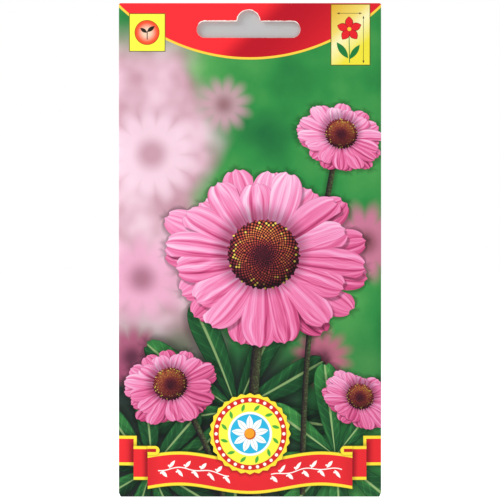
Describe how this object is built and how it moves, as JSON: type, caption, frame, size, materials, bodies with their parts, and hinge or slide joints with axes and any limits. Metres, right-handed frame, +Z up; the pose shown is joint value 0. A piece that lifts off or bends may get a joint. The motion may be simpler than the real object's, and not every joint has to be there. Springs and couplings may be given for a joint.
{
  "type": "seed packet",
  "caption": "Flat paper seed packet, folded and glued shut, with a printed flower front, a punched hang slot in its header, and loose seeds pooled low in its pocket.",
  "frame": {"origin": "the crown of the hang slot's hump, midway through the thickness of the glued header, where a display hook carries the packet", "axes": "+Z up the packet towards its top edge, X across it, and -Y out of the printed front"},
  "size_m": [0.08, 0.0042, 0.1506],
  "materials": {
    "printed_paper": "satin",
    "glue_film": "satin",
    "seed_coat": "matte"
  },
  "bodies": {
    "root": {"packet_paper": "printed_paper", "side_seam_glue": "glue_film", "bottom_flap_glue": "glue_film", "header_glue": "glue_film", "header_flap_glue": "glue_film", "seed_01": "seed_coat", "seed_02": "seed_coat", "seed_03": "seed_coat", "seed_04": "seed_coat", "seed_05": "seed_coat", "seed_06": "seed_coat", "seed_07": "seed_coat", "seed_08": "seed_coat", "seed_09": "seed_coat", "seed_10": "seed_coat", "seed_11": "seed_coat", "seed_12": "seed_coat", "seed_13": "seed_coat", "seed_14": "seed_coat", "seed_15": "seed_coat", "seed_16": "seed_coat", "seed_17": "seed_coat", "seed_18": "seed_coat", "seed_19": "seed_coat", "seed_20": "seed_coat", "seed_21": "seed_coat", "seed_22": "seed_coat", "seed_23": "seed_coat", "seed_24": "seed_coat", "seed_25": "seed_coat", "seed_26": "seed_coat", "seed_27": "seed_coat", "seed_28": "seed_coat", "seed_29": "seed_coat", "seed_30": "seed_coat", "seed_31": "seed_coat", "seed_32": "seed_coat", "seed_33": "seed_coat", "seed_34": "seed_coat", "seed_35": "seed_coat", "seed_36": "seed_coat"}
  },
  "joints": []
}
